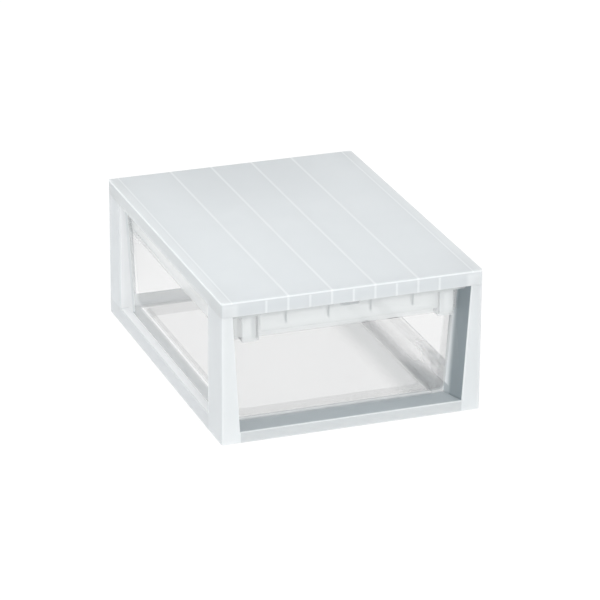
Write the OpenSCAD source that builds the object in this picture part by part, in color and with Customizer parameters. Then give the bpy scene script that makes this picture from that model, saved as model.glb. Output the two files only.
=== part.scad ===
// Stackable drawer box: a double-walled casing frame with a snap-on top cover,
// and a drafted drawer that slides out of its front on the casing's base flanges.
// Origin: centre of the footprint, on the surface it stands on. Front is -Y, up is +Z.

/* [Casing] */
// Width of the casing
casing_w = 296; // [270:1:330]
// Depth of the casing, front to back
casing_d = 400; // [360:5:440]
// Height of the casing with its cover on
casing_h = 162; // [150:1:180]
// Wall of the casing and the cover
wall = 2.2; // [1.8:0.1:2.6]
// Radius of the casing's upright edges
edge_r = 3; // [2:0.5:5]

/* [Posts and rails] */
// Width of a post at the foot
post_foot = 21.5; // [20:0.5:24]
// Width of a post at the head
post_head = 12.5; // [12:0.5:14]
// Depth of the two front posts
front_post_d = 44; // [38:1:50]
// Depth of the two rear posts
rear_post_d = 41; // [36:1:48]
// How much narrower the rear posts are than the front posts
rear_slim = 3.3; // [0:0.1:4]
// How far the inner wall of a front post runs on into the side window
fin_d = 10; // [6:1:14]
// Height of the side rails
rail_h = 18; // [16:1:22]
// Width of the ledge on top of a side rail
rail_w = 10.4; // [9:0.2:12]
// Height of the sill under the drawer front
sill_h = 12; // [10:0.5:12]
// Depth over which the sill slopes down to the base
sill_d = 52; // [46:1:60]
// Height of the low wall at the back
rear_wall_h = 16.5; // [14:0.5:20]
// Half width of the rear opening at the base
rear_open_foot = 116; // [110:1:120]
// Half width of the rear opening at the top of the frame
rear_open_head = 122.5; // [120:0.5:126]

/* [Base] */
// Thickness of the base flanges
base_t = 2.5; // [2:0.1:3]
// Depth of the front flange
flange_front = 80; // [70:1:90]
// Depth of the rear flange
flange_rear = 32; // [28:1:40]
// Width of the side flanges, from the outside of the casing
flange_side = 38; // [36:1:42]
// Corner radius of the cut-out in the base
cutout_r = 12; // [6:1:20]
// Thickness of the two runners that carry the drawer
runner_t = 2; // [1.6:0.1:2.4]

/* [Cover] */
// Height of the skirt round the cover
skirt_h = 16.5; // [15:0.5:20]
// Thickness of the top panel
panel_t = 2.5; // [2:0.1:3]
// Thickness of the cover's inner side walls
channel_wall = 1.8; // [1.4:0.1:2]
// Spacing of the long ribs under the panel
rib_pitch = 49; // [44:1:54]
// Number of long ribs
rib_count = 4; // [2:2:4]
// Thickness of a rib
rib_t = 1.8; // [1.2:0.1:2.4]
// Depth of a rib below the panel
rib_h = 5; // [3:0.5:6]

/* [Drawer] */
// Gap between the drawer's rim and the posts, each side
side_gap = 2; // [1.5:0.5:3]
// Distance of the drawer's front wall behind the casing's front
front_set_back = 30; // [28:1:34]
// Distance of the drawer's rear wall before the casing's rear
rear_set_back = 16; // [14:1:50]
// Gap below the drawer, above the sill and the runners
bottom_gap = 0.3; // [0.2:0.1:0.8]
// Wall of the drawer
tub_wall = 1.8; // [1.4:0.1:2.2]
// Height of the top of the drawer's rim above the table
rim_top = 140.5; // [138:0.5:142]
// Height of the rim band round the drawer
rim_band = 32; // [20:0.5:33]
// How far the rim band stands out from the drawer's wall
rim_step = 2.4; // [2:0.1:3]
// Half width of the drawer at its floor
floor_half_w = 121.4; // [119:0.1:122]
// How far the stop nibs stand out from the rim
nib_reach = 3.3; // [3:0.1:4]
// Distance of the stop nibs behind the casing's front
nib_set_back = 338; // [320:1:340]
// Radius of the drawer's upright corners
tub_corner_r = 10; // [8:1:14]
// Radius of the edge round the drawer's floor
floor_edge_r = 8; // [5:1:10]

/* [Grip] */
// Distance of the grip's face behind the casing's front
grip_set_back = 11; // [9:0.5:12]
// Half length of the grip
grip_half = 101; // [95:1:103]
// Height of the grip's lower edge above the table
grip_low = 120; // [118:1:124]
// Height of the grip's top edge above the table
grip_top = 143.5; // [142.5:0.5:144]
// Thickness of the grip's plate
grip_t = 2; // [1.6:0.1:2.4]
// Spacing of the gussets behind the grip
grip_gusset_pitch = 48; // [44:1:50]
// Width of the thumb notch in the middle
thumb_w = 21; // [18:1:26]

/* [Hidden] */
$fn = 48;
hull_fn = 32;
sliver = 0.01;

frosted = [0.86, 0.88, 0.89, 0.8];
clear = [0.9, 0.93, 0.94, 0.45];

half_w = casing_w / 2;
front_y = -casing_d / 2;
rear_y = casing_d / 2;
frame_h = casing_h - skirt_h;

// Spigots that stand on the posts and snap into the corners of the cover
spigot_h = 9.5;
spigot_gap = 0.3;
spigot_wall = 1.6;
bead_r = 0.8;
bead_z = 5.5;
bead_len = 22;
bead_sink = 0.2;
groove_gap = 0.15;

// The casing
channel_x = half_w - post_head;
rail_foot_x = half_w - rail_w - 1.1;
window_y0 = front_y + front_post_d;
window_y1 = rear_y - rear_post_d;
runner_x = half_w - flange_side + 0.8;
runner_y0 = front_y + sill_d - 2;
runner_y1 = rear_y - flange_rear + 8;
runner_ramp = 12;
gusset_deep = 9;
gusset_foot = 1;

// The drawer
tub_z = sill_h + bottom_gap;
rim_low = rim_top - rim_band;
tub_front = front_y + front_set_back;
tub_rear = rear_y - rear_set_back;
front_lean = 2;
rear_lean = 4;
rim_lean = 0.03;
rim_half_w = half_w - post_foot + (post_foot - post_head) * rim_top / frame_h - side_gap;
wall_lean = (rim_half_w - rim_lean * rim_band - rim_step - floor_half_w) / (rim_low - tub_z);
fillet_steps = 4;
brim_t = 2.5;
grip_back_y = front_y + grip_set_back + grip_t;
grip_mid_y = grip_back_y - grip_t / 2;
nib_y = front_y + nib_set_back;
nib_d = 3;
nib_ramp = 5;
nib_low = 130;
nib_h = 9;

// The grip and its ends
grip_r = 3;
lip_t = 1.5;
lip_reach = 8;
return_reach = 2;
grip_gusset_low = 125.5;
grip_gusset_t = 1.4;
grip_gusset_foot = 0.8;
thumb_low = 137.7;
thumb_deep = 5;
end_w = 21;
end_low = 109;
end_front = 14;
end_r = 3;
end_wall = 1.4;
slot_w = 5;
slot_deep = 9;

// Half width of the tunnel between the posts at height z; the posts are drafted,
// so that the frame comes off its core
function tunnel_half(z, slim = 0) =
    half_w - post_foot + slim + (post_foot - post_head) * z / frame_h;
// Half width of the drawer's wall at height z
function tub_half(z) = floor_half_w + wall_lean * (z - tub_z);
// Half width of the rim band at height z
function rim_half(z) = rim_half_w - rim_lean * (rim_top - z);
// Front and rear faces of the drawer's wall at height z
function tub_y0(z) = tub_front - front_lean * (z - tub_z) / (rim_top - tub_z);
function tub_y1(z) = tub_rear + rear_lean * (z - tub_z) / (rim_top - tub_z);

// An outline in X and Z, pushed from y0 to y1
module along_y(y0, y1) {
    translate([0, y1, 0]) rotate([90, 0, 0]) linear_extrude(height = y1 - y0) children();
}

// An outline in Y and Z, pushed from x0 to x1
module along_x(x0, x1) {
    translate([x0, 0, 0]) rotate([90, 0, 90]) linear_extrude(height = x1 - x0) children();
}

module rounded_rect(w, d, r) {
    square([w - 2 * r, d], center = true);
    square([w, d - 2 * r], center = true);
    for (x = [-1, 1], y = [-1, 1])
        translate([x * (w / 2 - r), y * (d / 2 - r)]) circle(r);
}

module both_sides() {
    for (side = [0, 1]) mirror([side, 0, 0]) children();
}

// ---------------------------------------------------------------- casing frame

// One post's outline: upright outside, drafted towards the tunnel
module post_outline(slim, inset, z0, z1) {
    polygon([
        [tunnel_half(z0, slim) + inset, z0], [half_w - inset, z0],
        [half_w - inset, z1], [tunnel_half(z1, slim) + inset, z1]
    ]);
}

// A post is a shell, open underneath
module post(y0, y1, slim) {
    difference() {
        along_y(y0, y1) post_outline(slim, 0, 0, frame_h);
        along_y(y0 + wall, y1 - wall) post_outline(slim, wall, -1, frame_h - wall);
    }
}

// The inner wall of a front post runs on here, and stops the drawer's nibs
module fin() {
    along_y(window_y0 - wall, window_y0 + fin_d) polygon([
        [tunnel_half(0), 0], [tunnel_half(0) + wall, 0],
        [tunnel_half(frame_h) + wall, frame_h], [tunnel_half(frame_h), frame_h]
    ]);
}

// Inverted channel under each side window
module side_rail() {
    ledge_x = half_w - rail_w;
    along_y(window_y0 - wall, window_y1 + wall) polygon([
        [half_w, 0], [half_w, rail_h], [ledge_x, rail_h], [rail_foot_x, 0],
        [rail_foot_x + wall, 0], [ledge_x + wall, rail_h - wall],
        [half_w - wall, rail_h - wall], [half_w - wall, 0]
    ]);
}

// A wide flat bar of the base between two depths
module base_bar(half, y0, y1) {
    translate([-half, y0, 0]) cube([2 * half, y1 - y0, base_t]);
}

// Flat ring round the open middle of the base
module base_ring() {
    cut_w = casing_w - 2 * flange_side;
    cut_d = casing_d - flange_front - flange_rear;
    difference() {
        union() {
            base_bar(tunnel_half(0) + wall / 2, front_y + sill_d - wall, window_y1);
            base_bar(rail_foot_x + wall / 2, window_y0 + fin_d - wall, window_y1 + wall);
            base_bar(tunnel_half(0, rear_slim) + wall / 2, window_y1, rear_y);
        }
        translate([0, (flange_front - flange_rear) / 2, -1])
            linear_extrude(height = base_t + 2) rounded_rect(cut_w, cut_d, cutout_r);
    }
}

// Sill across the front: upright face, then a slope down to the base
module sill() {
    half = tunnel_half(0) + wall / 2;
    y1 = front_y + sill_d;
    difference() {
        along_x(-half, half) polygon([
            [front_y, 0], [front_y, sill_h], [front_y + wall, sill_h], [y1, base_t], [y1, 0]
        ]);
        along_x(-half - 1, half + 1) polygon([
            [front_y + wall, -1], [front_y + wall, sill_h - 1.2 * wall],
            [y1 - wall, base_t - wall], [y1 - wall, -1]
        ]);
    }
}

// Thin frame across the back, open above its low wall
module rear_frame() {
    outer = tunnel_half(0, rear_slim) + wall / 2;
    outer_top = tunnel_half(frame_h, rear_slim) + wall / 2;
    rise = (rear_open_head - rear_open_foot) / frame_h;
    along_y(rear_y - wall, rear_y) difference() {
        polygon([[-outer, 0], [outer, 0], [outer_top, frame_h], [-outer_top, frame_h]]);
        polygon([
            [-rear_open_foot - rise * rear_wall_h, rear_wall_h],
            [rear_open_foot + rise * rear_wall_h, rear_wall_h],
            [rear_open_head + rise, frame_h + 1], [-rear_open_head - rise, frame_h + 1]
        ]);
    }
}

// Runner on the base that carries the drawer, ramped at both ends
module runner() {
    along_x(runner_x, runner_x + runner_t) polygon([
        [runner_y0, 0], [runner_y0, base_t], [runner_y0 + runner_ramp, sill_h],
        [runner_y1 - runner_ramp, sill_h], [runner_y1, base_t], [runner_y1, 0]
    ]);
}

// Hollow plug on top of a post, with a snap bead on its outer face
module spigot(x0, y0, y1) {
    x1 = half_w - wall - spigot_gap;
    difference() {
        translate([x0, y0, frame_h - wall]) cube([x1 - x0, y1 - y0, spigot_h + wall]);
        translate([x0 + spigot_wall, y0 + spigot_wall, frame_h])
            cube([x1 - x0 - 2 * spigot_wall, y1 - y0 - 2 * spigot_wall, spigot_h + 1]);
    }
    translate([x1 - bead_sink, (y0 + y1 - bead_len) / 2, frame_h + bead_z])
        rotate([-90, 0, 0]) cylinder(r = bead_r, h = bead_len);
}

module front_spigot() {
    spigot(channel_x + channel_wall + spigot_gap,
        front_y + wall + spigot_gap, window_y0 - wall - spigot_gap);
}

module rear_spigot() {
    spigot(channel_x + channel_wall + 2 * spigot_wall,
        window_y1 + wall + spigot_gap, rear_y - wall - spigot_gap);
}

module casing_frame() {
    color(frosted) {
        intersection() {
            linear_extrude(height = frame_h) rounded_rect(casing_w, casing_d, edge_r);
            union() {
                base_ring();
                sill();
                rear_frame();
                both_sides() {
                    post(front_y, window_y0, 0);
                    post(window_y1, rear_y, rear_slim);
                    side_rail();
                    fin();
                    runner();
                }
            }
        }
        both_sides() {
            front_spigot();
            rear_spigot();
        }
    }
}

// ---------------------------------------------------------------- top cover

// Groove that the snap bead of a spigot drops into
module bead_groove(y) {
    translate([half_w - wall - spigot_gap - bead_sink, y - bead_len / 2 - groove_gap,
               frame_h + bead_z])
        rotate([-90, 0, 0])
            cylinder(r = bead_r + groove_gap, h = bead_len + 2 * groove_gap);
}

// Top panel with a skirt all round
module shell() {
    difference() {
        translate([0, 0, frame_h])
            linear_extrude(height = skirt_h) rounded_rect(casing_w, casing_d, edge_r);
        translate([0, 0, frame_h - 1]) linear_extrude(height = skirt_h - panel_t + 1)
            rounded_rect(casing_w - 2 * wall, casing_d - 2 * wall, edge_r - wall / 2);
        both_sides() {
            bead_groove(front_y + front_post_d / 2);
            bead_groove(rear_y - rear_post_d / 2);
        }
    }
}

// Inner side wall, which makes a channel over the posts
module channel_walls() {
    both_sides() translate([channel_x, front_y + wall / 2, frame_h])
        cube([channel_wall, casing_d - wall, skirt_h - panel_t / 2]);
}

module long_ribs() {
    for (i = [0 : rib_count - 1])
        translate([(i - (rib_count - 1) / 2) * rib_pitch - rib_t / 2, front_y + wall / 2,
                   casing_h - panel_t - rib_h])
            cube([rib_t, casing_d - wall, rib_h + panel_t / 2]);
}

// Upright gussets behind the front and the rear of the skirt
module gussets() {
    z0 = frame_h + 1;
    z1 = casing_h - panel_t / 2;
    for (end = [0, 1], i = [-rib_count : rib_count])
        mirror([0, end, 0])
            along_x(i * rib_pitch / 2 - rib_t / 2, i * rib_pitch / 2 + rib_t / 2)
                polygon([
                    [front_y + wall / 2, z0], [front_y + wall + gusset_foot, z0],
                    [front_y + wall + gusset_deep, z1], [front_y + wall / 2, z1]
                ]);
}

module top_cover() {
    color(frosted) {
        shell();
        channel_walls();
        long_ribs();
        gussets();
    }
}

// ---------------------------------------------------------------- drawer

// Four upright corners, inset from the drawer's wall and as far out as out
module corners(half, y0, y1, z, inset) {
    r = tub_corner_r;
    for (x = [-1, 1], y = [y0 + r, y1 - r])
        translate([x * (half - r), y, z]) cylinder(r = r - inset, h = sliver, $fn = hull_fn);
}

module tub_ring(z, inset) {
    corners(tub_half(z), tub_y0(z), tub_y1(z), z, inset);
}

module rim_ring(z, inset) {
    corners(rim_half(z), tub_y0(z) - rim_step, tub_y1(z) + rim_step, z, inset);
}

// Drafted body with a rounded edge round its floor, up to z1
module tub_body(inset, z1) {
    edge = floor_edge_r - inset;
    hull() {
        for (i = [0 : fillet_steps]) {
            a = 90 * i / fillet_steps;
            tub_ring(tub_z + inset + edge * (1 - cos(a)), inset + edge * (1 - sin(a)));
        }
        tub_ring(z1 - sliver, inset);
    }
}

// The band round the top, one step wider than the body
module rim_body(inset, z0, z1) {
    hull() {
        rim_ring(z0, inset);
        rim_ring(z1 - sliver, inset);
    }
}

// Flat brim that reaches forward from the rim and carries the grip
module brim() {
    difference() {
        translate([-rim_half_w, grip_back_y, rim_top - brim_t])
            cube([2 * rim_half_w, tub_y0(rim_top) - grip_back_y + tub_wall, brim_t]);
        thumb_notch(grip_back_y - 1, grip_back_y + thumb_deep);
    }
}

// Nibs on the sides of the rim, near the back: they snap in past the front posts
// and stop the drawer when they meet the fins
module stop_nibs() {
    x0 = rim_half_w - tub_wall / 2;
    x1 = rim_half_w + nib_reach;
    both_sides() translate([0, 0, nib_low]) linear_extrude(height = nib_h)
        polygon([[x0, nib_y], [x1, nib_y], [x1, nib_y + nib_d], [x0, nib_y + nib_d + nib_ramp]]);
}

module drawer_tub() {
    color(clear) {
        difference() {
            union() {
                tub_body(0, rim_top - sliver);
                rim_body(0, rim_low, rim_top);
            }
            tub_body(tub_wall, rim_low + tub_wall);
            rim_body(tub_wall, rim_low + tub_wall, rim_top + 1);
        }
        brim();
        stop_nibs();
    }
}

// ---------------------------------------------------------------- grip

// Opening for the thumb, cut through whatever lies between two depths
module thumb_notch(y0, y1) {
    translate([-thumb_w / 2, y0, thumb_low]) cube([thumb_w, y1 - y0, grip_top]);
}

// Shelf on the back of the plate: two of them hold the brim between them
module lip(z) {
    translate([-grip_half + grip_r, grip_mid_y, z])
        cube([2 * (grip_half - grip_r), grip_back_y + lip_reach - grip_mid_y, lip_t]);
}

// Three-cornered ribs in the finger gap, from the lower lip down the plate
module grip_gussets() {
    top = rim_top - brim_t - lip_t / 2;
    for (i = [-1.5 : 1 : 1.5])
        along_x(i * grip_gusset_pitch - grip_gusset_t / 2, i * grip_gusset_pitch + grip_gusset_t / 2)
            polygon([
                [grip_mid_y, top], [grip_back_y + lip_reach, top],
                [grip_back_y + grip_gusset_foot, grip_gusset_low], [grip_mid_y, grip_gusset_low]
            ]);
}

module front_grip() {
    face_y = grip_back_y - grip_t;
    color(clear) {
        difference() {
            union() {
                along_y(face_y, grip_back_y)
                    translate([0, (grip_low + grip_top) / 2])
                        rounded_rect(2 * grip_half, grip_top - grip_low, grip_r);
                lip(rim_top);
                lip(rim_top - brim_t - lip_t);
            }
            thumb_notch(face_y - 1, grip_back_y + lip_reach + 1);
        }
        grip_gussets();
        // Return along the lower edge, for the fingertips
        translate([-grip_half + grip_r, grip_mid_y, grip_low])
            cube([2 * (grip_half - grip_r), grip_back_y + return_reach - grip_mid_y, grip_t]);
    }
}

// Block under each end of the brim: a square pad, and an open slot beside it
module grip_end() {
    x0 = grip_half;
    y0 = front_y + end_front;
    y1 = tub_y0(rim_top) - rim_step;
    z1 = rim_top - brim_t;
    color(clear) difference() {
        along_y(y0, y1) union() {
            translate([x0, end_low + end_r]) square([end_w, z1 - end_low - end_r]);
            translate([x0 + end_r, end_low]) square([end_w - 2 * end_r, end_r + 1]);
            for (x = [x0 + end_r, x0 + end_w - end_r]) translate([x, end_low + end_r]) circle(end_r);
        }
        translate([x0 + end_wall, y0 - 1, end_low + 2 * end_wall])
            cube([slot_w - 2 * end_wall, slot_deep + 1, z1 - end_low - 3 * end_wall]);
        translate([x0 + slot_w, y0 + end_wall, end_low + end_wall])
            cube([end_w - slot_w - end_wall, y1 - y0, z1 - end_low - 2 * end_wall]);
    }
}

casing_frame();
top_cover();
drawer_tub();
front_grip();
mirror([1, 0, 0]) grip_end();  // grip_end_left
grip_end();  // grip_end_right
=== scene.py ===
"""Dresses the stackable drawer box: its mouldings, their plastics and the studio it stands in."""

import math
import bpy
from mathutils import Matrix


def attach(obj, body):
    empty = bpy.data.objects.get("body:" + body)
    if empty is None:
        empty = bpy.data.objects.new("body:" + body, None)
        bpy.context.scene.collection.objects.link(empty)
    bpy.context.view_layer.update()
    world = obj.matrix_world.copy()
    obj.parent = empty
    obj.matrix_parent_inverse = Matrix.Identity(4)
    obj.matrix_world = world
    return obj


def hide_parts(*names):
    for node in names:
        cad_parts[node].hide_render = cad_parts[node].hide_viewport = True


bl_info = {
    "name": "Stackable Drawer Box",
    "version": (1, 0, 0),
    "blender": (4, 5, 0),
    "location": "3D View > Sidebar > Drawer Box",
    "description": "Models and finishes the casing, the cover and the clear drawer of a stackable drawer box",
    "category": "Add Mesh",
}

import bpy
from mathutils import Matrix, Vector

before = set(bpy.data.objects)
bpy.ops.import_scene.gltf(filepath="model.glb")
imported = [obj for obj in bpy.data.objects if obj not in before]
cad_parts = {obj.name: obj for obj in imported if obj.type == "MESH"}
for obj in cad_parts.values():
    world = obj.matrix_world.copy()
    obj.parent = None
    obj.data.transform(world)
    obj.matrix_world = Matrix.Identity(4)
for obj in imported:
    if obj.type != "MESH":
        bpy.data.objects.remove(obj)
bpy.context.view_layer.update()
MM = 0.001

# Main measures of the part
HALF_W = 148 * MM
FRONT_Y = -200 * MM
REAR_Y = 200 * MM
CASING_H = 162 * MM
SILL_H = 12 * MM
RAIL_H = 18 * MM
RAIL_W = 10.4 * MM
RAIL_FOOT = 136 * MM
RUNNER_X = 113.5 * MM
WINDOW_Y0 = -156 * MM
WINDOW_Y1 = 159 * MM
TUNNEL_FOOT = 126.5 * MM
TUNNEL_DRAFT = 9 / 145.5
RIB_PITCH = 49 * MM
CHANNEL_X = 136.4 * MM
TUB_FLOOR = 12.3 * MM
TUB_DRAFT = 8.5 / 97.2
RIM_LOW = 108.5 * MM
RIM_TOP = 140.5 * MM
# Half width, front, rear and height of the tub at its foot and head, and of its rim band
TUB_FOOT = (121.4 * MM, -170 * MM, 184 * MM, TUB_FLOOR)
TUB_HEAD = (129.9 * MM, -171.52 * MM, 187.04 * MM, RIM_LOW + 1 * MM)
BAND_FOOT = (132.23 * MM, -173.9 * MM, 189.4 * MM, RIM_LOW)
BAND_HEAD = (133.19 * MM, -174.4 * MM, 190.4 * MM, RIM_TOP)

# Corners of the brim, of the thumb notch cut into it and of the right-hand stop nib
BRIM = ((-133.1 * MM, -187 * MM, 138 * MM), (133.1 * MM, -173 * MM, RIM_TOP - 0.02 * MM))
THUMB_NOTCH = ((-10.5 * MM, -190 * MM, 130 * MM), (10.5 * MM, -182 * MM, 150 * MM))
NIB = ((132.4 * MM, 138 * MM, 130 * MM), (136.4 * MM, 146 * MM, 139 * MM))
NIB_SLOPE = 5 * MM
CORNER_SEGMENTS = 10
FLOOR_EDGE_SEGMENTS = 8

# Limits of the places where the casing and the grip change their look
FAR = 1
WINDOW_Y = (WINDOW_Y0, WINDOW_Y1)
SIDE_X = HALF_W - 1 * MM
PLATE_TOP = 3.2 * MM
PLATE_Y0 = FRONT_Y + 46 * MM
LIP_Y1 = FRONT_Y + 60 * MM
PLATE_Y1 = FRONT_Y + 84 * MM
BACK_FADE = (-150 * MM, -20 * MM)
GRIP_PITCH = 48 * MM
BLOCK_SIDE_X = 119.8 * MM

# Opacity of each place. Towards the back, the casing's right-hand plate and rail are clearer than
# the left-hand ones, so the casing isn't its own mirror image in its look
# The clearer right-hand side stands in for the light that falls on it there: painted light
CASING_OPACITY = {
    "base_plate": 0.5, "rear_wall": 0.5, "runners": 0.1, "by_rail": 0.1,
    "right_plate": 0.28, "right_rail": 0.07, "front_plate": 0.05, "front_lip": 0.62,
}
TUB_OPACITY = {
    "walls": 0.06, "floor": 0.107, "corner": 0.2, "foot": 0.3,
    "shaded_floor": 0.24, "rim": 0.5, "rim_corners": 0.16,
}
GRIP_OPACITY = {"plate": 0.45, "marks": 0.8, "blocks": 0.45, "block_sides": 0.04}
EDGE_ON_OPACITY = 0.5

# Share of the room's light that goes straight through the walls
FROSTED_LIGHT_THROUGH = 0.6
CLEAR_LIGHT_THROUGH = 0.8
PLASTIC_IOR = 1.49

# The floor lies a little under the base, so that the two flat faces don't fall together
FLOOR_Z = -0.3 * MM


# ------------------------------------------------------------------ settings


class CasingSettings(bpy.types.PropertyGroup):
    """Finish of the translucent casing and its cover."""

    edge: bpy.props.FloatProperty(
        name="Edge radius", description="Rounding of the moulded edges", default=0.45 * MM, unit="LENGTH"
    )
    color: bpy.props.FloatVectorProperty(
        name="Casing colour", description="Colour of the translucent casing frame", subtype="COLOR",
        default=(0.715, 0.75, 0.765), min=0, max=1
    )
    cover_color: bpy.props.FloatVectorProperty(
        name="Cover colour", description="Colour of the translucent cover", subtype="COLOR",
        default=(0.635, 0.67, 0.69), min=0, max=1
    )
    # Painted shade: the sill's front face darker than the rest of the casing
    shaded_sill_color: bpy.props.FloatVectorProperty(
        name="Sill colour", description="Colour of the thin sill under the drawer", subtype="COLOR",
        default=(0.54, 0.565, 0.575), min=0, max=1
    )
    # Painted shade: the outer sides, and part of the right-hand front face, darker than the front
    shaded_side_color: bpy.props.FloatVectorProperty(
        name="Side colour", description="Colour of the casing's outer sides", subtype="COLOR",
        default=(0.53, 0.555, 0.57), min=0, max=1
    )
    # Painted shade: the rails' outer faces darker still
    shaded_rail_color: bpy.props.FloatVectorProperty(
        name="Rail colour", description="Colour of the thin side rails", subtype="COLOR",
        default=(0.49, 0.51, 0.525), min=0, max=1
    )
    # Painted light: the ledges, the rails' inner walls and the rear posts' inner faces lighter
    painted_light_color: bpy.props.FloatVectorProperty(
        name="Ledge colour", description="Colour of the ledges and of the rear posts' inner faces", subtype="COLOR",
        default=(0.81, 0.835, 0.85), min=0, max=1
    )
    # Painted shade: the thin base plate, runners and rear wall darker
    shaded_flange_color: bpy.props.FloatVectorProperty(
        name="Flange colour", description="Colour of the thin flanges of the base", subtype="COLOR",
        default=(0.52, 0.545, 0.555), min=0, max=1
    )
    # Painted shade: the cover's sides darker
    shaded_skirt_color: bpy.props.FloatVectorProperty(
        name="Skirt colour", description="Colour of the sides of the cover", subtype="COLOR",
        default=(0.48, 0.505, 0.515), min=0, max=1
    )
    # Painted shade inside the front portal, beside the rear posts and along the foot of the front
    recess_shade_color: bpy.props.FloatVectorProperty(
        name="Recess colour", description="Deeper tone inside the front portal", subtype="COLOR",
        default=(0.225, 0.265, 0.285), min=0, max=1
    )
    # Lighter where ribs stand behind the cover's panel; also the painted highlight along its top edge
    rib_and_highlight_color: bpy.props.FloatVectorProperty(
        name="Rib colour", description="Colour where a rib stands behind the panel", subtype="COLOR",
        default=(0.92, 0.95, 0.96), min=0, max=1
    )


class DrawerSettings(bpy.types.PropertyGroup):
    """Finish of the clear drawer."""

    wall: bpy.props.FloatProperty(
        name="Wall", description="Thickness of the tub's wall", default=1.8 * MM, unit="LENGTH"
    )
    corner: bpy.props.FloatProperty(
        name="Corner radius", description="Radius of the tub's upright corners", default=10 * MM, unit="LENGTH"
    )
    floor_edge: bpy.props.FloatProperty(
        name="Floor edge radius", description="Radius of the edge round the tub's floor", default=8 * MM,
        unit="LENGTH"
    )
    edge: bpy.props.FloatProperty(
        name="Edge radius", description="Rounding of the clear mouldings' edges", default=0.35 * MM, unit="LENGTH"
    )
    color: bpy.props.FloatVectorProperty(
        name="Plastic colour", description="Tint of the clear drawer", subtype="COLOR",
        default=(0.45, 0.455, 0.46), min=0, max=1
    )
    milky_color: bpy.props.FloatVectorProperty(
        name="Milky colour", description="Colour of the milky grip and rim band", subtype="COLOR",
        default=(0.76, 0.785, 0.79), min=0, max=1
    )
    # Painted shade: the gussets, the blocks' slots and tops and the thumb notch's edge on the grip, and the painted
    # shadow on the floor's right side
    shade_color: bpy.props.FloatVectorProperty(
        name="Shade colour", description="Tone of the marks and of the shaded side of the floor", subtype="COLOR",
        default=(0.28, 0.31, 0.32), min=0, max=1
    )
    rim_color: bpy.props.FloatVectorProperty(
        name="Edge colour", description="Tone of the clear plastic where it is seen edge on", subtype="COLOR",
        default=(0.55, 0.58, 0.59), min=0, max=1
    )


class StudioSettings(bpy.types.PropertyGroup):
    """Camera, floor and lights."""

    position: bpy.props.FloatVectorProperty(
        name="Camera position", description="Place of the camera", subtype="TRANSLATION",
        default=(-1.245, -3.435, 1.559)
    )
    azimuth: bpy.props.FloatProperty(
        name="Azimuth", description="How far the camera stands round to the left of the front",
        default=math.radians(-20.11), subtype="ANGLE"
    )
    elevation: bpy.props.FloatProperty(
        name="Elevation", description="How far the camera looks down", default=math.radians(22.17), subtype="ANGLE"
    )
    roll: bpy.props.FloatProperty(
        name="Roll", description="Tilt of the picture", default=math.radians(0.33), subtype="ANGLE"
    )
    lens: bpy.props.FloatProperty(
        name="Focal length", description="Focal length on a 36 mm sensor", default=212.3, unit="CAMERA"
    )
    floor_color: bpy.props.FloatVectorProperty(
        name="Floor colour", description="Colour of the floor", subtype="COLOR", default=(0.15, 0.15, 0.15),
        min=0, max=1
    )
    world_strength: bpy.props.FloatProperty(
        name="Room light", description="Strength of the even light from all round", default=0.82
    )


# ------------------------------------------------------------------ materials


def new_material(name):
    """A material, its node tree and its Principled shader."""
    material = bpy.data.materials.new(name)
    material.use_nodes = True
    tree = material.node_tree
    return material, tree, tree.nodes["Principled BSDF"]


def math_node(tree, operation, first, second=None):
    """A Math node; its inputs are sockets to link or plain numbers."""
    node = tree.nodes.new("ShaderNodeMath")
    node.operation = operation
    for socket, value in zip(node.inputs, (first, second)):
        if isinstance(value, bpy.types.NodeSocket):
            tree.links.new(value, socket)
        elif value is not None:
            socket.default_value = value
    return node.outputs["Value"]


def times(tree, first, *factors):
    """The product of a socket and the sockets or numbers that follow it."""
    for factor in factors:
        first = math_node(tree, "MULTIPLY", first, factor)
    return first


def smooth_range(tree, value, low, high):
    """Goes smoothly from 0 where value is low to 1 where it is high."""
    node = tree.nodes.new("ShaderNodeMapRange")
    node.interpolation_type = "SMOOTHSTEP"
    tree.links.new(value, node.inputs["Value"])
    for name, limit in (("From Min", low), ("From Max", high)):
        if isinstance(limit, bpy.types.NodeSocket):
            tree.links.new(limit, node.inputs[name])
        else:
            node.inputs[name].default_value = limit
    return node.outputs["Result"]


def mix_values(tree, mask, low, high):
    """Low where the mask is 0, and high where it is 1; low may be a socket."""
    node = tree.nodes.new("ShaderNodeMapRange")
    tree.links.new(mask, node.inputs["Value"])
    if isinstance(low, bpy.types.NodeSocket):
        tree.links.new(low, node.inputs["To Min"])
    else:
        node.inputs["To Min"].default_value = low
    node.inputs["To Max"].default_value = high
    return node.outputs["Result"]


def mix_colors(tree, factor, first, second):
    """First where the factor is 0, and second where it is 1; each is a socket or a colour."""
    node = tree.nodes.new("ShaderNodeMix")
    node.data_type = "RGBA"
    tree.links.new(factor, node.inputs["Factor"])
    for socket, value in ((node.inputs["A"], first), (node.inputs["B"], second)):
        if isinstance(value, bpy.types.NodeSocket):
            tree.links.new(value, socket)
        else:
            socket.default_value = (*value, 1)
    return node.outputs["Result"]


def object_axes(tree):
    """The X, Y and Z of Object coordinates, in metres."""
    coordinates = tree.nodes.new("ShaderNodeTexCoord")
    axes = tree.nodes.new("ShaderNodeSeparateXYZ")
    tree.links.new(coordinates.outputs["Object"], axes.inputs["Vector"])
    return axes.outputs["X"], axes.outputs["Y"], axes.outputs["Z"]


def new_group(name, inputs, outputs):
    """An empty shader node group with its sockets, and its two end nodes."""
    group = bpy.data.node_groups.new(name, "ShaderNodeTree")
    for socket, default in inputs.items():
        item = group.interface.new_socket(socket, in_out="INPUT", socket_type="NodeSocketFloat")
        item.default_value = default
    for socket, kind in outputs.items():
        group.interface.new_socket(socket, in_out="OUTPUT", socket_type=kind)
    return group, group.nodes.new("NodeGroupInput"), group.nodes.new("NodeGroupOutput")


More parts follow.
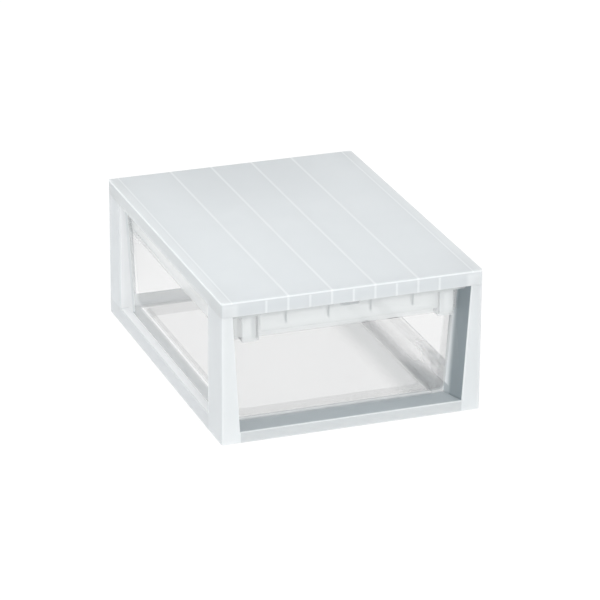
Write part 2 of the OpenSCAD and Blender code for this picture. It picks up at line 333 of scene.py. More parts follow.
def rib_lines_group():
    """Mask of evenly spaced lines across X, where ribs stand behind a wall."""
    name = "rib_lines"
    if name in bpy.data.node_groups:
        return bpy.data.node_groups[name]
    group, start, end = new_group(
        name, {"Pitch": 0.049, "Shift": 0.0, "Half Width": 0.001, "Reach": 0.1}, {"Mask": "NodeSocketFloat"}
    )
    x = object_axes(group)[0]
    pitch, half_width = start.outputs["Pitch"], start.outputs["Half Width"]
    steps = math_node(group, "ADD", math_node(group, "DIVIDE", x, pitch), start.outputs["Shift"])
    off = math_node(group, "ABSOLUTE", math_node(group, "SUBTRACT", math_node(group, "FRACT", steps), 0.5))
    distance = times(group, off, pitch)
    line = smooth_range(group, distance, times(group, half_width, 2.2), times(group, half_width, 0.4))
    within = math_node(group, "LESS_THAN", math_node(group, "ABSOLUTE", x), start.outputs["Reach"])
    group.links.new(times(group, line, within), end.inputs["Mask"])
    return group


def soft_box_group():
    """Mask of the space between two X, two Y and two Z, alike on both sides of X = 0."""
    name = "soft_box"
    if name in bpy.data.node_groups:
        return bpy.data.node_groups[name]
    wide = {"X Low": -1, "X High": 1, "Y Low": -1, "Y High": 1, "Z Low": -1, "Z High": 1, "Softness": 0.001}
    group, start, end = new_group(name, wide, {"Mask": "NodeSocketFloat"})
    x, y, z = object_axes(group)
    soft = start.outputs["Softness"]
    mask = None
    for axis, value in (("X", math_node(group, "ABSOLUTE", x)), ("Y", y), ("Z", z)):
        low, high = start.outputs[axis + " Low"], start.outputs[axis + " High"]
        low_edge = [math_node(group, sign, low, soft) for sign in ("SUBTRACT", "ADD")]
        high_edge = [math_node(group, sign, high, soft) for sign in ("ADD", "SUBTRACT")]
        both = times(group, smooth_range(group, value, *low_edge), smooth_range(group, value, *high_edge))
        mask = times(group, mask, both) if mask else both
    group.links.new(mask, end.inputs["Mask"])
    return group


def moulding_group():
    """Faint flow marks and a fine surface texture, as a moulded plastic has."""
    name = "moulded_surface"
    if name in bpy.data.node_groups:
        return bpy.data.node_groups[name]
    group, start, end = new_group(
        name, {"Flow Scale": 9.0, "Texture Scale": 900.0, "Depth": 0.05},
        {"Flow": "NodeSocketFloat", "Normal": "NodeSocketVector"}
    )
    coordinates = group.nodes.new("ShaderNodeTexCoord")
    flow = group.nodes.new("ShaderNodeTexNoise")
    flow.inputs["Detail"].default_value = 3
    flow.inputs["Distortion"].default_value = 1.2
    grain = group.nodes.new("ShaderNodeTexNoise")
    grain.inputs["Detail"].default_value = 2
    for texture, scale in ((flow, "Flow Scale"), (grain, "Texture Scale")):
        group.links.new(coordinates.outputs["Object"], texture.inputs["Vector"])
        group.links.new(start.outputs[scale], texture.inputs["Scale"])
    bump = group.nodes.new("ShaderNodeBump")
    bump.inputs["Distance"].default_value = 0.1 * MM
    group.links.new(start.outputs["Depth"], bump.inputs["Strength"])
    group.links.new(grain.outputs["Fac"], bump.inputs["Height"])
    group.links.new(flow.outputs["Fac"], end.inputs["Flow"])
    group.links.new(bump.outputs["Normal"], end.inputs["Normal"])
    return group


def add_group(tree, group, values):
    """A node of the group placed in a material, with its own values."""
    node = tree.nodes.new("ShaderNodeGroup")
    node.node_tree = group
    for socket, value in values.items():
        node.inputs[socket].default_value = value
    return node


def soft_box(tree, softness, **ranges):
    """Mask of a box: x=(low, high), y=(low, high) and z=(low, high), any left out being endless."""
    values = {"Softness": softness}
    for axis, (low, high) in ranges.items():
        values[axis.upper() + " Low"] = low
        values[axis.upper() + " High"] = high
    return add_group(tree, soft_box_group(), values).outputs["Mask"]


def rib_lines(tree, pitch, half_width, reach, shift=0.0):
    """Mask of lines across X, as far as reach on both sides of the middle."""
    values = {"Pitch": pitch, "Shift": shift, "Half Width": half_width, "Reach": reach}
    return add_group(tree, rib_lines_group(), values).outputs["Mask"]


def tint(tree, base, color, softness, share=1.0, **ranges):
    """The base colour, with another one over part of the piece."""
    mask = soft_box(tree, softness, **ranges)
    if share < 1:
        mask = times(tree, mask, share)
    return mix_colors(tree, mask, base, color)


def scaled(color, factor):
    """A darker or lighter tone of a colour."""
    return tuple(factor * channel for channel in color)


def right_half(tree, x):
    """Mask of the right-hand half of a piece."""
    return math_node(tree, "GREATER_THAN", x, 0.0)


def wall_foot(tree, x, z, draft):
    """How far from the middle a drafted wall that passes through the point has its foot."""
    return math_node(tree, "SUBTRACT", math_node(tree, "ABSOLUTE", x), times(tree, z, draft))


def let_light_through(tree, shader, opacity, share):
    """Set the shader's alpha, and let a share of the scattered light straight through."""
    path = tree.nodes.new("ShaderNodeLightPath")
    scattered = math_node(tree, "MAXIMUM", path.outputs["Is Shadow Ray"], path.outputs["Is Diffuse Ray"])
    kept = math_node(tree, "SUBTRACT", 1.0, times(tree, scattered, share))
    tree.links.new(times(tree, kept, opacity), shader.inputs["Alpha"])


def frosted_plastic(name, color):
    """Satin plastic in which light scatters: the material, its tree, its shader and its flow-marked colour."""
    material, tree, shader = new_material(name)
    shader.inputs["IOR"].default_value = PLASTIC_IOR
    shader.inputs["Subsurface Weight"].default_value = 1.0
    shader.inputs["Subsurface Radius"].default_value = (1, 1, 1)
    shader.inputs["Subsurface Scale"].default_value = 8 * MM
    surface = add_group(tree, moulding_group(), {"Depth": 0.08})
    tree.links.new(surface.outputs["Normal"], shader.inputs["Normal"])
    rough = tree.nodes.new("ShaderNodeMapRange")
    rough.inputs["To Min"].default_value = 0.3
    rough.inputs["To Max"].default_value = 0.46
    tree.links.new(surface.outputs["Flow"], rough.inputs["Value"])
    tree.links.new(rough.outputs["Result"], shader.inputs["Roughness"])
    return material, tree, shader, mix_colors(tree, surface.outputs["Flow"], color, scaled(color, 0.955))


def casing_thin_parts(tree):
    """Masks of the casing's base plate, runners and rear wall."""
    base_plate = soft_box(tree, 0.5 * MM, x=(-FAR, RAIL_FOOT), y=(PLATE_Y0, FAR), z=(-FAR, PLATE_TOP))
    runners = soft_box(
        tree, 0.5 * MM, x=(-FAR, RUNNER_X), y=(FRONT_Y + 50 * MM, REAR_Y - 4 * MM), z=(-FAR, 13 * MM)
    )
    rear_wall = soft_box(tree, 0.5 * MM, x=(-FAR, 126 * MM), y=(REAR_Y - 3 * MM, FAR))
    return base_plate, runners, rear_wall


def casing_opacity(tree, base_plate, runners, rear_wall):
    """The casing's opacity: whole in its posts, and lower in its thin parts and in the right-hand rail."""
    x, y = object_axes(tree)[:2]
    to_back = smooth_range(tree, y, *BACK_FADE)
    right_back = times(tree, right_half(tree, x), to_back)
    by_rail = soft_box(tree, 1 * MM, x=(127 * MM, RAIL_FOOT + 5 * MM), y=WINDOW_Y, z=(-FAR, 12 * MM))
    right_rail = soft_box(tree, 0.5 * MM, x=(RAIL_FOOT - 1 * MM, FAR), y=WINDOW_Y, z=(-FAR, RAIL_H + 1 * MM))
    right_plate = soft_box(tree, 0.5 * MM, x=(RUNNER_X, RAIL_FOOT), y=WINDOW_Y, z=(-FAR, PLATE_TOP))
    front_plate = soft_box(tree, 0.5 * MM, x=(-FAR, RUNNER_X), y=(LIP_Y1, PLATE_Y1), z=(-FAR, PLATE_TOP))
    front_lip = soft_box(tree, 0.5 * MM, x=(-FAR, RUNNER_X), y=(PLATE_Y0, LIP_Y1), z=(-FAR, PLATE_TOP))
    back_face = tree.nodes.new("ShaderNodeNewGeometry").outputs["Backfacing"]
    from_inside = math_node(
        tree, "MAXIMUM", back_face, smooth_range(tree, x, HALF_W - 0.6 * MM, HALF_W - 1.4 * MM)
    )

    opacity = mix_values(tree, base_plate, 1.0, CASING_OPACITY["base_plate"])
    opacity = mix_values(tree, rear_wall, opacity, CASING_OPACITY["rear_wall"])
    opacity = mix_values(tree, runners, opacity, CASING_OPACITY["runners"])
    opacity = mix_values(tree, times(tree, by_rail, to_back), opacity, CASING_OPACITY["by_rail"])
    right_plate_opacity = mix_values(tree, times(tree, right_plate, right_back), 1.0, CASING_OPACITY["right_plate"])
    opacity = math_node(tree, "MINIMUM", opacity, right_plate_opacity)
    right_rail = times(tree, times(tree, right_rail, right_back), from_inside)
    opacity = mix_values(tree, right_rail, opacity, CASING_OPACITY["right_rail"])
    opacity = mix_values(tree, front_plate, opacity, CASING_OPACITY["front_plate"])
    return mix_values(tree, front_lip, opacity, CASING_OPACITY["front_lip"])


def casing_color(tree, base, settings, base_plate, runners, rear_wall):
    """The casing's colour, with painted shade on its sides, rails, thin parts, sill front and right-hand front post
    and inside the front portal, a painted contact shadow along the foot of the front, and painted light on its
    ledges, the rails' inner walls and the rear posts' inner faces.
    """
    x, y, z = object_axes(tree)
    post_face = (WINDOW_Y1 - 0.6 * MM, WINDOW_Y1 + 1 * MM)
    # Painted shade on the outer sides
    base = tint(tree, base, settings.shaded_side_color, 0.4 * MM, x=(SIDE_X, FAR))
    # Painted shade on the rails' outer faces, darker still
    base = tint(tree, base, settings.shaded_rail_color, 0.6 * MM, x=(SIDE_X, FAR), y=(WINDOW_Y0, FAR), z=(-FAR, RAIL_H))
    # Painted light on the ledges
    base = tint(
        tree, base, settings.painted_light_color, 0.4 * MM,
        x=(HALF_W - RAIL_W - 1 * MM, SIDE_X), y=WINDOW_Y, z=(RAIL_H - 1 * MM, RAIL_H + 1 * MM)
    )
    # Painted light on the rear posts' inner faces
    base = tint(tree, base, settings.painted_light_color, 0.4 * MM, x=(0, SIDE_X), y=post_face)
    foot = wall_foot(tree, x, z, TUNNEL_DRAFT)
    # Painted shade along the inner edge of the rear posts' faces
    shaded_wall_edge = times(
        tree, soft_box(tree, 0.4 * MM, y=post_face), smooth_range(tree, foot, 133 * MM, 132 * MM)
    )
    base = mix_colors(tree, times(tree, shaded_wall_edge, 0.25), base, settings.recess_shade_color)
    # Painted shade on the thin base plate, runners and rear wall
    base = mix_colors(tree, math_node(tree, "MAXIMUM", base_plate, runners), base, settings.shaded_flange_color)
    base = mix_colors(tree, times(tree, rear_wall, 0.45), base, settings.shaded_flange_color)
    # Painted light on the rails' inner walls
    base = tint(
        tree, base, scaled(settings.painted_light_color, 1.14), 0.5 * MM,
        x=(RAIL_FOOT - 0.5 * MM, RAIL_FOOT + 2.2 * MM), y=WINDOW_Y, z=(3 * MM, RAIL_H + 1 * MM)
    )
    # Painted shade on the sill's front face
    base = tint(
        tree, base, settings.shaded_sill_color, 0.5 * MM,
        x=(-FAR, TUNNEL_FOOT), y=(FRONT_Y - 1 * MM, FRONT_Y + 1.2 * MM), z=(-FAR, SILL_H - 0.3 * MM)
    )
    # Painted contact shadow along the foot of the front
    base = tint(
        tree, base, settings.recess_shade_color, 0.3 * MM, 0.14, y=(-FAR, FRONT_Y + 1.2 * MM), z=(-FAR, 0.9 * MM)
    )
    # Painted shade on the right-hand front post's face
    shaded_right_face = soft_box(tree, 0.5 * MM, x=(TUNNEL_FOOT, FAR), y=(-FAR, FRONT_Y + 1 * MM))
    shaded_right_face = times(tree, shaded_right_face, right_half(tree, x))
    base = mix_colors(tree, times(tree, shaded_right_face, 0.3), base, settings.shaded_side_color)
    # Painted shade inside the front portal
    return mix_colors(tree, portal_recess_shade(tree, y, foot), base, settings.recess_shade_color)


def portal_recess_shade(tree, y, foot):
    """Mask of the painted shade inside the front portal: its side walls and the top of its sill."""
    inside = smooth_range(tree, foot, TUNNEL_FOOT + 1.6 * MM, TUNNEL_FOOT + 0.4 * MM)
    by_wall = smooth_range(tree, foot, TUNNEL_FOOT - 1.2 * MM, TUNNEL_FOOT - 0.4 * MM)
    behind_face = smooth_range(tree, y, FRONT_Y + 1.5 * MM, FRONT_Y + 3.5 * MM)
    before_window = smooth_range(tree, y, FRONT_Y + 48 * MM, FRONT_Y + 32 * MM)
    reveal = times(tree, behind_face, before_window, by_wall)
    sill = soft_box(tree, 0.8 * MM, y=(FRONT_Y + 2.6 * MM, FRONT_Y + 52 * MM), z=(-FAR, SILL_H + 2 * MM))
    return times(tree, inside, math_node(tree, "MAXIMUM", reveal, times(tree, sill, 0.69)))


def casing_plastic(settings):
    """The casing's plastic."""
    material, tree, shader, base = frosted_plastic("frosted_casing", settings.color)
    thin_parts = casing_thin_parts(tree)
    let_light_through(tree, shader, casing_opacity(tree, *thin_parts), FROSTED_LIGHT_THROUGH)
    tree.links.new(casing_color(tree, base, settings, *thin_parts), shader.inputs["Base Color"])
    return material


def cover_plastic(settings):
    """The cover's plastic, lighter where ribs, side channels and gussets stand behind it; with painted shade
    towards the middle of its rear, on its front skirt and on its sides, and a painted highlight along the top edge
    of its front and rear.
    """
    material, tree, shader, base = frosted_plastic("frosted_cover", settings.cover_color)
    let_light_through(tree, shader, 1.0, FROSTED_LIGHT_THROUGH)
    x, y = object_axes(tree)[:2]
    panel_z = (CASING_H - 2 * MM, FAR)
    skirt_z = (0, CASING_H - 1.8 * MM)
    # Painted shade, darker towards the middle and rear of the cover
    inward = smooth_range(tree, math_node(tree, "ABSOLUTE", x), 125 * MM, 40 * MM)
    shaded_rear_middle = times(tree, inward, smooth_range(tree, y, 10 * MM, 170 * MM))
    shaded_cover_color = scaled(settings.cover_color, 0.905)
    base = mix_colors(tree, shaded_rear_middle, base, shaded_cover_color)
    # Painted shade on the front skirt
    base = tint(tree, base, shaded_cover_color, 0.4 * MM, 0.75, y=(-FAR, FRONT_Y + 1.2 * MM), z=skirt_z)
    base = tint(tree, base, settings.rib_and_highlight_color, 3 * MM, 0.14, x=(CHANNEL_X + 2 * MM, FAR), z=panel_z)
    base = tint(
        tree, base, settings.rib_and_highlight_color, 3 * MM, 0.3,
        x=(HALF_W - 18 * MM, HALF_W - 2 * MM), y=(-FAR, FRONT_Y + 3 * MM), z=(0, CASING_H - 3 * MM)
    )
    base = tint(
        tree, base, settings.rib_and_highlight_color, 0.6 * MM, 0.35, x=(CHANNEL_X - 0.9 * MM, CHANNEL_X + 0.9 * MM), z=panel_z
    )
    # Painted shade on the cover's sides
    base = tint(tree, base, settings.shaded_skirt_color, 0.5 * MM, x=(HALF_W - 1.2 * MM, FAR), z=skirt_z)
    # Painted highlight along the top edge of the front and rear
    base = tint(
        tree, base, settings.rib_and_highlight_color, 0.7 * MM, 0.5,
        x=(-FAR, HALF_W - 1.2 * MM), z=(CASING_H - 1.6 * MM, CASING_H - 0.5 * MM)
    )
    ribs = times(tree, rib_lines(tree, RIB_PITCH, 1.0 * MM, 2 * RIB_PITCH), soft_box(tree, 0.5 * MM, z=panel_z))
    skirt = soft_box(tree, 0.4 * MM, x=(-FAR, HALF_W - 2 * MM), z=(0, CASING_H - 2.5 * MM))
    gussets = times(tree, rib_lines(tree, RIB_PITCH / 2, 0.9 * MM, 2.3 * RIB_PITCH, shift=0.5), skirt)
    lines = times(tree, math_node(tree, "MAXIMUM", ribs, gussets), 0.35)
    tree.links.new(mix_colors(tree, lines, base, settings.rib_and_highlight_color), shader.inputs["Base Color"])
    return material


class ClearPlastic:
    """Clear plastic: a thin veil seen square on, denser and darker where it is seen edge on."""

    def __init__(self, name, color, edge_color, veil):
        self.material, self.tree, self.shader = new_material(name)
        self.shader.inputs["Roughness"].default_value = 0.12
        self.shader.inputs["IOR"].default_value = PLASTIC_IOR
        facing = self.tree.nodes.new("ShaderNodeLayerWeight")
        facing.inputs["Blend"].default_value = 0.5
        edge_on = smooth_range(self.tree, facing.outputs["Facing"], 0.8, 0.98)
        self.color = mix_colors(self.tree, edge_on, color, edge_color)
        self.opacity = mix_values(self.tree, edge_on, veil, EDGE_ON_OPACITY)

    def cloud(self, mask, color, opacity):
        """Change the plastic's colour and opacity where the mask is 1."""
        self.color = mix_colors(self.tree, mask, self.color, color)
        self.opacity = mix_values(self.tree, mask, self.opacity, opacity)

    def finish(self):
        """Let most of the scattered light through, and link the shader."""
        let_light_through(self.tree, self.shader, self.opacity, CLEAR_LIGHT_THROUGH)
        self.tree.links.new(self.color, self.shader.inputs["Base Color"])
        return self.material


def tub_plastic(settings):
    """The tub's plastic: milky in the rim band, and denser in the floor and its foot; with a painted reflection
    darkening its right front corner, a painted shadow on the right of the floor, painted shade on the rim band's
    sides, and the rim band's rear corners clearer to lighten their shade.
    """
    plastic = ClearPlastic("clear_tub", settings.color, settings.rim_color, TUB_OPACITY["walls"])
    tree = plastic.tree
    x, y, z = object_axes(tree)
    foot_line = wall_foot(tree, x, z, TUB_DRAFT)
    rim_z = (RIM_LOW + 0.3 * MM, FAR)
    plastic.cloud(soft_box(tree, 0.5 * MM, z=(-FAR, TUB_FLOOR + 2.2 * MM)), settings.color, TUB_OPACITY["floor"])
    at_front = smooth_range(tree, y, -163 * MM, -166 * MM)
    # Painted reflection of the dark portal wall, darkening the right front corner
    corner = times(tree, smooth_range(tree, foot_line, 105.5 * MM, 108.5 * MM), at_front, right_half(tree, x))
    plastic.cloud(corner, settings.color, TUB_OPACITY["corner"])
    foot = times(tree, at_front, soft_box(tree, 1 * MM, z=(-FAR, TUB_FLOOR + 2.5 * MM)))
    plastic.cloud(foot, settings.color, TUB_OPACITY["foot"])
    shaded = times(tree, soft_box(tree, 3 * MM, z=(-FAR, 17 * MM)), smooth_range(tree, x, 58 * MM, 90 * MM))
    beyond = times(
        tree, smooth_range(tree, x, 97 * MM, 106 * MM), smooth_range(tree, y, -135 * MM, -45 * MM)
    )
    shaded = times(tree, shaded, math_node(tree, "SUBTRACT", 1.0, beyond))
    plastic.cloud(shaded, settings.shade_color, TUB_OPACITY["shaded_floor"])
    plastic.cloud(soft_box(tree, 0.4 * MM, z=rim_z), settings.milky_color, TUB_OPACITY["rim"])
    # Painted shade on the rim band's sides
    shaded_rim_sides = soft_box(tree, 1 * MM, x=(128 * MM, FAR), z=rim_z)
    plastic.cloud(shaded_rim_sides, scaled(settings.milky_color, 0.85), TUB_OPACITY["rim"])
    # The rim band's rear corners made clearer, a painted lightening of the shade there
    rim_corners = soft_box(tree, 3 * MM, x=(112 * MM, FAR), y=(164 * MM, FAR), z=(RIM_LOW, FAR))
    plastic.cloud(rim_corners, settings.milky_color, TUB_OPACITY["rim_corners"])
    return plastic.finish()


def grip_plastic(settings):
    """The grip's milky plastic; painted shade shows its gussets, the blocks' slots and tops and the thumb notch's
    edge as thin dark lines, and painted light makes the end blocks lighter.
    """
    plastic = ClearPlastic("clear_grip", settings.milky_color, settings.rim_color, GRIP_OPACITY["plate"])
    tree = plastic.tree
    # Painted shade on the gussets behind the plate
    marks = times(
        tree, rib_lines(tree, GRIP_PITCH, 0.8 * MM, 2 * GRIP_PITCH),
        soft_box(tree, 2 * MM, z=(127 * MM, 150 * MM))
    )
    plastic.cloud(times(tree, marks, 0.6), settings.shade_color, GRIP_OPACITY["marks"])
    # Painted light: the end blocks lighter, and their outer sides almost clear
    blocks = soft_box(tree, 0.5 * MM, x=(104 * MM, BLOCK_SIDE_X))
    plastic.cloud(blocks, scaled(settings.milky_color, 1.1), GRIP_OPACITY["blocks"])
    block_sides = soft_box(tree, 0.5 * MM, x=(BLOCK_SIDE_X, FAR))
    plastic.cloud(block_sides, settings.milky_color, GRIP_OPACITY["block_sides"])
    # Painted shade in the blocks' slots, on their tops and along the thumb notch's edge
    slots = soft_box(tree, 0.8 * MM, x=(106.8 * MM, 109.4 * MM), z=(112 * MM, 135 * MM))
    block_tops = soft_box(tree, 0.6 * MM, x=(103 * MM, 123 * MM), z=(134.8 * MM, 137.2 * MM))
    thumb_edge = soft_box(tree, 0.2 * MM, x=(-FAR, 10.7 * MM), z=(137.1 * MM, 138.2 * MM))
    lines = math_node(tree, "MAXIMUM", slots, block_tops)
    lines = math_node(tree, "MAXIMUM", lines, times(tree, thumb_edge, 0.5))
    plastic.cloud(times(tree, lines, 0.26), settings.shade_color, GRIP_OPACITY["marks"])
    return plastic.finish()


def floor_material(color):
    material, tree, shader = new_material("studio_floor")
    shader.inputs["Base Color"].default_value = (*color, 1)
    shader.inputs["Roughness"].default_value = 0.9
    shader.inputs["Specular IOR Level"].default_value = 0.1
    shader.inputs["Emission Color"].default_value = (1, 1, 1, 1)
    shader.inputs["Emission Strength"].default_value = 0.9
    return material


# ------------------------------------------------------------------ modelling helpers


def deselect_all():
    for obj in bpy.context.selected_objects:
        obj.select_set(False)


def make_active(obj):
    deselect_all()
    obj.select_set(True)
    bpy.context.view_layer.objects.active = obj


def cad_copy(node, name):
    """A merged copy of a CAD node's mesh, with its flat faces whole again."""
    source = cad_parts[node]
    obj = bpy.data.objects.new(name, source.data.copy())
    obj.data.name = name
    bpy.context.scene.collection.objects.link(obj)
    make_active(obj)
    bpy.ops.object.mode_set(mode="EDIT")
    bpy.ops.mesh.select_all(action="SELECT")
    bpy.ops.mesh.remove_doubles(threshold=0.002 * MM)
    bpy.ops.mesh.dissolve_limited(angle_limit=math.radians(0.5))
    bpy.ops.object.mode_set(mode="OBJECT")
    obj.data.materials.clear()
    return obj


def round_edges(obj, width, segments=3):
    make_active(obj)
    bevel = obj.modifiers.new("edges", "BEVEL")
    bevel.width = width
    bevel.segments = segments
    bevel.limit_method = "ANGLE"
    bevel.angle_limit = math.radians(30)
    bpy.ops.object.modifier_apply(modifier=bevel.name)
    bpy.ops.object.shade_smooth_by_angle(angle=math.radians(35))


def select_in_edit(obj, kind, chosen):
    """Go to edit mode with just the chosen vertices, edges or faces selected."""
    make_active(obj)
    bpy.ops.object.mode_set(mode="EDIT")
    bpy.ops.mesh.select_mode(type=kind)
    bpy.ops.mesh.select_all(action="DESELECT")
    bpy.ops.object.mode_set(mode="OBJECT")
    for element in chosen(obj.data):
        element.select = True
    bpy.ops.object.mode_set(mode="EDIT")


def edit_points(obj, test):
    select_in_edit(obj, "VERT", lambda mesh: [point for point in mesh.vertices if test(point.co)])


def edit_edges(obj, test):
    def chosen(mesh):
        points = mesh.vertices
        return [edge for edge in mesh.edges if test(*(points[index].co for index in edge.vertices))]
    select_in_edit(obj, "EDGE", chosen)


def edit_faces(obj, test):
    select_in_edit(obj, "FACE", lambda mesh: [face for face in mesh.polygons if test(face)])


def add_block(name, low, high):
    """A block between two corners."""
    deselect_all()
    centre = [(a + b) / 2 for a, b in zip(low, high)]
    size = [b - a for a, b in zip(low, high)]
    bpy.ops.mesh.primitive_cube_add(size=1, location=centre, scale=size)
    block = bpy.context.object
    block.name = name
    bpy.ops.object.transform_apply(location=True, rotation=False, scale=True)
    return block


def tapered_box(name, foot, head, corner, floor_edge=0):
    """A drafted box; foot and head give half width, front, rear and height."""
    box = add_block(name, (-foot[0], foot[1], foot[3]), (foot[0], foot[2], head[3]))
    middle = (foot[3] + head[3]) / 2
    edit_points(box, lambda co: co.z > middle)
    bpy.ops.transform.resize(value=(head[0] / foot[0], 1, 1), center_override=(0, 0, head[3]))
    bpy.ops.object.mode_set(mode="OBJECT")
    edit_points(box, lambda co: co.z > middle and co.y < 0)
    bpy.ops.transform.translate(value=(0, head[1] - foot[1], 0))
    bpy.ops.object.mode_set(mode="OBJECT")
    edit_points(box, lambda co: co.z > middle and co.y > 0)
    bpy.ops.transform.translate(value=(0, head[2] - foot[2], 0))
    bpy.ops.object.mode_set(mode="OBJECT")
    edit_edges(box, lambda a, b: abs(a.z - b.z) > 1 * MM)
    bpy.ops.mesh.bevel(offset=corner, segments=CORNER_SEGMENTS, affect="EDGES")
    bpy.ops.object.mode_set(mode="OBJECT")
    if floor_edge:
        edit_edges(box, lambda a, b: a.z < foot[3] + 0.1 * MM and b.z < foot[3] + 0.1 * MM)
        bpy.ops.mesh.bevel(offset=floor_edge, segments=FLOOR_EDGE_SEGMENTS, affect="EDGES")
        bpy.ops.object.mode_set(mode="OBJECT")
    return box


def apply_modifiers(obj):
    make_active(obj)
    for modifier in list(obj.modifiers):
        bpy.ops.object.modifier_apply(modifier=modifier.name)


def combine(obj, other, operation):
    """Join another solid to a piece or cut it out, and drop the other."""
    boolean = obj.modifiers.new("combine", "BOOLEAN")
    boolean.operation = operation
    boolean.solver = "EXACT"
    boolean.object = other
    apply_modifiers(obj)
    bpy.data.objects.remove(other)


def thicken(obj, wall):
    """Give an open shell its wall, inwards."""
    solidify = obj.modifiers.new("wall", "SOLIDIFY")
    solidify.thickness = wall
    solidify.offset = -1
    solidify.use_even_offset = True
    apply_modifiers(obj)


def dress(obj, material, body, slot, *nodes):
    obj.data.materials.append(material)
    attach(obj, body)
    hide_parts(*nodes)


# ------------------------------------------------------------------ operators


class DRAWERBOX_OT_casing_frame(bpy.types.Operator):
    """Finish the moulded casing frame."""

    bl_idname = "drawerbox.casing_frame"
    bl_label = "Casing frame"

    def execute(self, context):
        settings = context.scene.drawerbox_casing
        obj = cad_copy("casing_frame", "casing_frame_moulding")
        round_edges(obj, settings.edge)
        dress(obj, casing_plastic(settings), "casing", "frosted", "casing_frame")
        return {"FINISHED"}


class DRAWERBOX_OT_top_cover(bpy.types.Operator):
    """Finish the snap-on top cover."""

    bl_idname = "drawerbox.top_cover"
    bl_label = "Top cover"

    def execute(self, context):
        settings = context.scene.drawerbox_casing
        obj = cad_copy("top_cover", "top_cover_moulding")
        round_edges(obj, settings.edge)
        dress(obj, cover_plastic(settings), "casing", "cover", "top_cover")
        return {"FINISHED"}


class DRAWERBOX_OT_drawer_tub(bpy.types.Operator):
    """Model the clear drawer: a drafted tub with a stepped rim, a brim and two stop nibs."""

    bl_idname = "drawerbox.drawer_tub"
    bl_label = "Drawer tub"

    def execute(self, context):
        settings = context.scene.drawerbox_drawer
        tub = tapered_box("drawer_tub_moulding", TUB_FOOT, TUB_HEAD, settings.corner, settings.floor_edge)
        band = tapered_box("rim_band", BAND_FOOT, BAND_HEAD, settings.corner)
        combine(tub, band, "UNION")
        self.open_top(tub)
        thicken(tub, settings.wall)
        brim = add_block("brim", *BRIM)
        combine(brim, add_block("notch", *THUMB_NOTCH), "DIFFERENCE")
        combine(tub, brim, "UNION")
        for side in (-1, 1):
            combine(tub, self.stop_nib(side), "UNION")
        round_edges(tub, settings.edge, segments=2)
        dress(tub, tub_plastic(settings), "drawer", "clear", "drawer_tub")
        return {"FINISHED"}

    def open_top(self, tub):
        """Take the lid off the solid form."""
        edit_faces(tub, lambda face: face.normal.z > 0.99 and face.center.z > RIM_TOP - 0.1 * MM)
        bpy.ops.mesh.delete(type="ONLY_FACE")
        bpy.ops.object.mode_set(mode="OBJECT")

    def stop_nib(self, side):
        """A small block on the side of the rim, sloped behind so that it snaps in."""
        (x0, y0, z0), (x1, y1, z1) = NIB
        low, high = sorted((side * x0, side * x1))
        nib = add_block("stop_nib", (low, y0, z0), (high, y1, z1))
        edit_points(nib, lambda co: abs(co.x) > (x0 + x1) / 2 and co.y > (y0 + y1) / 2)
        bpy.ops.transform.translate(value=(0, -NIB_SLOPE, 0))
        bpy.ops.object.mode_set(mode="OBJECT")
        return nib


class DRAWERBOX_OT_front_grip(bpy.types.Operator):
    """Finish the clip-on grip and its two end blocks."""

    bl_idname = "drawerbox.front_grip"
    bl_label = "Front grip"

    def execute(self, context):
        settings = context.scene.drawerbox_drawer
        material = grip_plastic(settings)
        for node in ("front_grip", "grip_end_left", "grip_end_right"):
            obj = cad_copy(node, node + "_moulding")
            round_edges(obj, settings.edge, segments=2)
            dress(obj, material, "drawer", "grip", node)
        return {"FINISHED"}


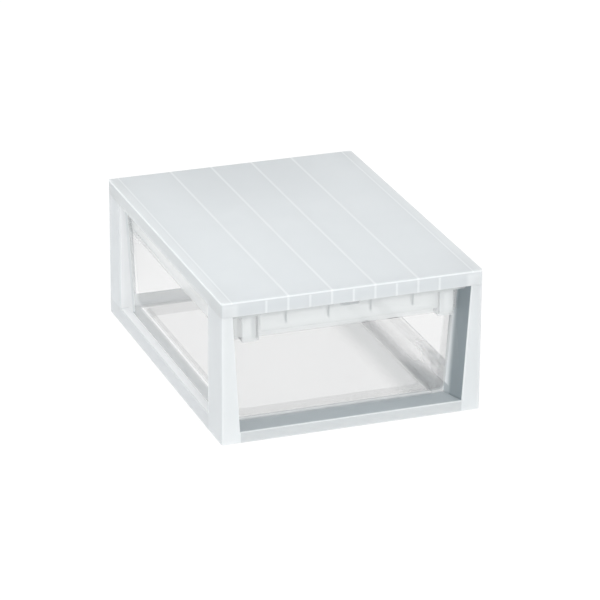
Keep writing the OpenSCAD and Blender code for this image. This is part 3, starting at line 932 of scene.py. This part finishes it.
class DRAWERBOX_OT_studio(bpy.types.Operator):
    """Set up the floor, the lights and the camera."""

    bl_idname = "drawerbox.studio"
    bl_label = "Studio"

    def execute(self, context):
        settings = context.scene.drawerbox_studio
        self.add_floor(settings)
        self.add_lights(context, settings)
        self.add_camera(context, settings)
        return {"FINISHED"}

    def add_floor(self, settings):
        deselect_all()
        bpy.ops.mesh.primitive_plane_add(size=40, location=(0, 0, FLOOR_Z))
        floor = bpy.context.object
        floor.name = "studio_floor"
        floor.data.materials.append(floor_material(settings.floor_color))

    def add_lights(self, context, settings):
        world = bpy.data.worlds.new("studio_world")
        context.scene.world = world
        world.use_nodes = True
        background = world.node_tree.nodes["Background"]
        background.inputs["Color"].default_value = (1, 1, 1, 1)
        background.inputs["Strength"].default_value = settings.world_strength
        self.add_area_light("key_light", (0.1, -3.0, 1.6), 1.6, 20)
        self.add_area_light("front_light", (-0.3, -0.55, 1.0), 0.6, 1.4)
        self.add_area_light("side_light", (-2.2, 0.3, 0.5), 1.0, 10)

    def add_area_light(self, name, place, size, power):
        data = bpy.data.lights.new(name, "AREA")
        data.size = size
        data.energy = power
        light = bpy.data.objects.new(name, data)
        bpy.context.scene.collection.objects.link(light)
        light.location = place
        aim = Vector((0, 0, 0.08)) - Vector(place)
        light.rotation_euler = aim.to_track_quat("-Z", "Y").to_euler()

    def add_camera(self, context, settings):
        az, el, roll = settings.azimuth, settings.elevation, settings.roll
        right = Vector((math.cos(az), math.sin(az), 0))
        back = Vector((math.sin(az) * math.cos(el), -math.cos(az) * math.cos(el), math.sin(el)))
        up = back.cross(right)
        turned_right = right * math.cos(roll) + up * math.sin(roll)
        turned_up = up * math.cos(roll) - right * math.sin(roll)
        data = bpy.data.cameras.new("camera")
        data.sensor_width = 36
        data.lens = settings.lens
        camera = bpy.data.objects.new("camera", data)
        context.scene.collection.objects.link(camera)
        turn = Matrix((turned_right, turned_up, back)).transposed().to_4x4()
        camera.matrix_world = Matrix.Translation(settings.position) @ turn
        context.scene.camera = camera
        context.scene.view_settings.view_transform = "Standard"


class DRAWERBOX_PT_panel(bpy.types.Panel):
    """Lists the steps that make the drawer box."""

    bl_label = "Drawer Box"
    bl_space_type = "VIEW_3D"
    bl_region_type = "UI"
    bl_category = "Drawer Box"

    def draw(self, context):
        for operator in OPERATORS:
            self.layout.operator(operator.bl_idname)


OPERATORS = (
    DRAWERBOX_OT_casing_frame,
    DRAWERBOX_OT_top_cover,
    DRAWERBOX_OT_drawer_tub,
    DRAWERBOX_OT_front_grip,
    DRAWERBOX_OT_studio,
)
SETTINGS = {
    "drawerbox_casing": CasingSettings,
    "drawerbox_drawer": DrawerSettings,
    "drawerbox_studio": StudioSettings,
}


def register():
    for name, group in SETTINGS.items():
        bpy.utils.register_class(group)
        setattr(bpy.types.Scene, name, bpy.props.PointerProperty(type=group))
    for cls in (*OPERATORS, DRAWERBOX_PT_panel):
        bpy.utils.register_class(cls)


def unregister():
    for cls in (DRAWERBOX_PT_panel, *reversed(OPERATORS)):
        bpy.utils.unregister_class(cls)
    for name, group in reversed(SETTINGS.items()):
        delattr(bpy.types.Scene, name)
        bpy.utils.unregister_class(group)


def main():
    register()
    bpy.ops.drawerbox.casing_frame()
    bpy.ops.drawerbox.top_cover()
    bpy.ops.drawerbox.drawer_tub()
    bpy.ops.drawerbox.front_grip()
    bpy.ops.drawerbox.studio()


if __name__ == "__main__":
    main()
